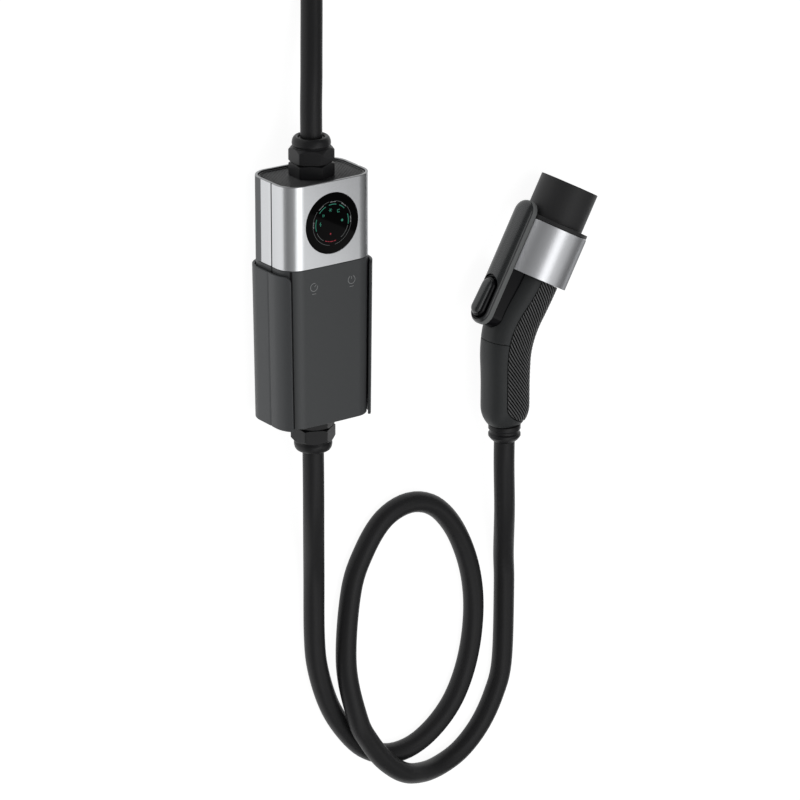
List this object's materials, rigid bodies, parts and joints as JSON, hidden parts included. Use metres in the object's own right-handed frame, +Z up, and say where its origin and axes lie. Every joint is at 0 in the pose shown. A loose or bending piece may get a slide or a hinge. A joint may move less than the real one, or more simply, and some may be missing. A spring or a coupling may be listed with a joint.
{
  "type": "ev charger",
  "caption": "Portable electric vehicle charger: rounded control box with a round display in a wall cradle, mains lead and plug, looped vehicle cable and a latched handle.",
  "frame": {"origin": "centre of the flat back face of the cradle, on the surface that the charger lies on", "axes": "+Z up from that surface, +Y along the control box towards its supply gland, +X across the box towards the handle"},
  "size_m": [0.2844, 0.9097, 0.0543],
  "materials": {
    "upper_sleeve": "brushed",
    "lower_sleeve": "satin",
    "inner_frame": "matte",
    "top_cap": "matte",
    "bottom_cap": "matte",
    "bottom_cap_screw_1": "satin",
    "bottom_cap_screw_2": "satin",
    "bottom_cap_screw_3": "satin",
    "bottom_cap_screw_4": "satin",
    "dial_window": "gloss",
    "dial_bezel": "matte",
    "display_module": "matte",
    "main_board": "matte",
    "board_bracket": "matte",
    "relay_1": "gloss",
    "relay_2": "gloss",
    "power_module": "matte",
    "vehicle_terminal_block": "matte",
    "supply_terminal_block": "matte",
    "leakage_sensor": "matte",
    "cradle": "satin",
    "supply_gland_body": "matte",
    "supply_gland_nut": "matte",
    "supply_gland_seal": "matte",
    "supply_gland_locknut": "matte",
    "vehicle_gland_body": "matte",
    "vehicle_gland_nut": "matte",
    "vehicle_gland_seal": "matte",
    "vehicle_gland_locknut": "matte",
    "supply_cord": "matte",
    "vehicle_cord": "matte",
    "plug_boot": "matte",
    "plug_body": "matte",
    "plug_blade_1": "satin",
    "plug_blade_2": "satin",
    "plug_ground_pin": "satin",
    "nose_shroud": "matte",
    "collar_ring": "brushed",
    "contact_carrier": "matte",
    "power_contact_1": "polished",
    "power_contact_2": "polished",
    "ground_contact": "polished",
    "signal_contact_1": "polished",
    "signal_contact_2": "polished",
    "upper_housing": "satin",
    "grip_shell": "satin",
    "grip_insert": "matte",
    "tail_ring": "matte",
    "cord_clamp": "matte",
    "wire_bundle": "matte",
    "latch_base": "gloss",
    "latch_cover": "satin",
    "latch_arm": "matte",
    "latch_pin": "satin",
    "latch_spring": "satin",
    "thumb_button": "satin",
    "micro_switch": "matte"
  },
  "bodies": {
    "housing": {"upper_sleeve": "upper_sleeve", "lower_sleeve": "lower_sleeve", "inner_frame": "inner_frame", "top_cap": "top_cap", "bottom_cap": "bottom_cap", "bottom_cap_screw_1": "bottom_cap_screw_1", "bottom_cap_screw_2": "bottom_cap_screw_2", "bottom_cap_screw_3": "bottom_cap_screw_3", "bottom_cap_screw_4": "bottom_cap_screw_4", "dial_window": "dial_window", "dial_bezel": "dial_bezel", "display_module": "display_module", "main_board": "main_board", "board_bracket": "board_bracket", "relay_1": "relay_1", "relay_2": "relay_2", "power_module": "power_module", "vehicle_terminal_block": "vehicle_terminal_block", "supply_terminal_block": "supply_terminal_block", "leakage_sensor": "leakage_sensor", "cradle": "cradle", "supply_gland_body": "supply_gland_body", "supply_gland_nut": "supply_gland_nut", "supply_gland_seal": "supply_gland_seal", "supply_gland_locknut": "supply_gland_locknut", "vehicle_gland_body": "vehicle_gland_body", "vehicle_gland_nut": "vehicle_gland_nut", "vehicle_gland_seal": "vehicle_gland_seal", "vehicle_gland_locknut": "vehicle_gland_locknut", "supply_cord": "supply_cord", "vehicle_cord": "vehicle_cord", "plug_boot": "plug_boot", "plug_body": "plug_body", "plug_blade_1": "plug_blade_1", "plug_blade_2": "plug_blade_2", "plug_ground_pin": "plug_ground_pin", "nose_shroud": "nose_shroud", "collar_ring": "collar_ring", "contact_carrier": "contact_carrier", "power_contact_1": "power_contact_1", "power_contact_2": "power_contact_2", "ground_contact": "ground_contact", "signal_contact_1": "signal_contact_1", "signal_contact_2": "signal_contact_2", "upper_housing": "upper_housing", "grip_shell": "grip_shell", "grip_insert": "grip_insert", "tail_ring": "tail_ring", "cord_clamp": "cord_clamp", "wire_bundle": "wire_bundle", "latch_base": "latch_base", "latch_cover": "latch_cover", "latch_pin": "latch_pin", "latch_spring": "latch_spring", "micro_switch": "micro_switch"},
    "latch": {"thumb_button": "thumb_button", "latch_arm": "latch_arm"}
  },
  "joints": [
    {"name": "latch_press", "type": "hinge", "parent": "housing", "child": "latch", "pos_m": [0.17043, 0.03175, 0.02715], "axis": [0, 0, 1], "range_deg": [0, 4.5], "stiffness_Nm_per_rad": 0.8, "springref_deg": -5.73}
  ]
}
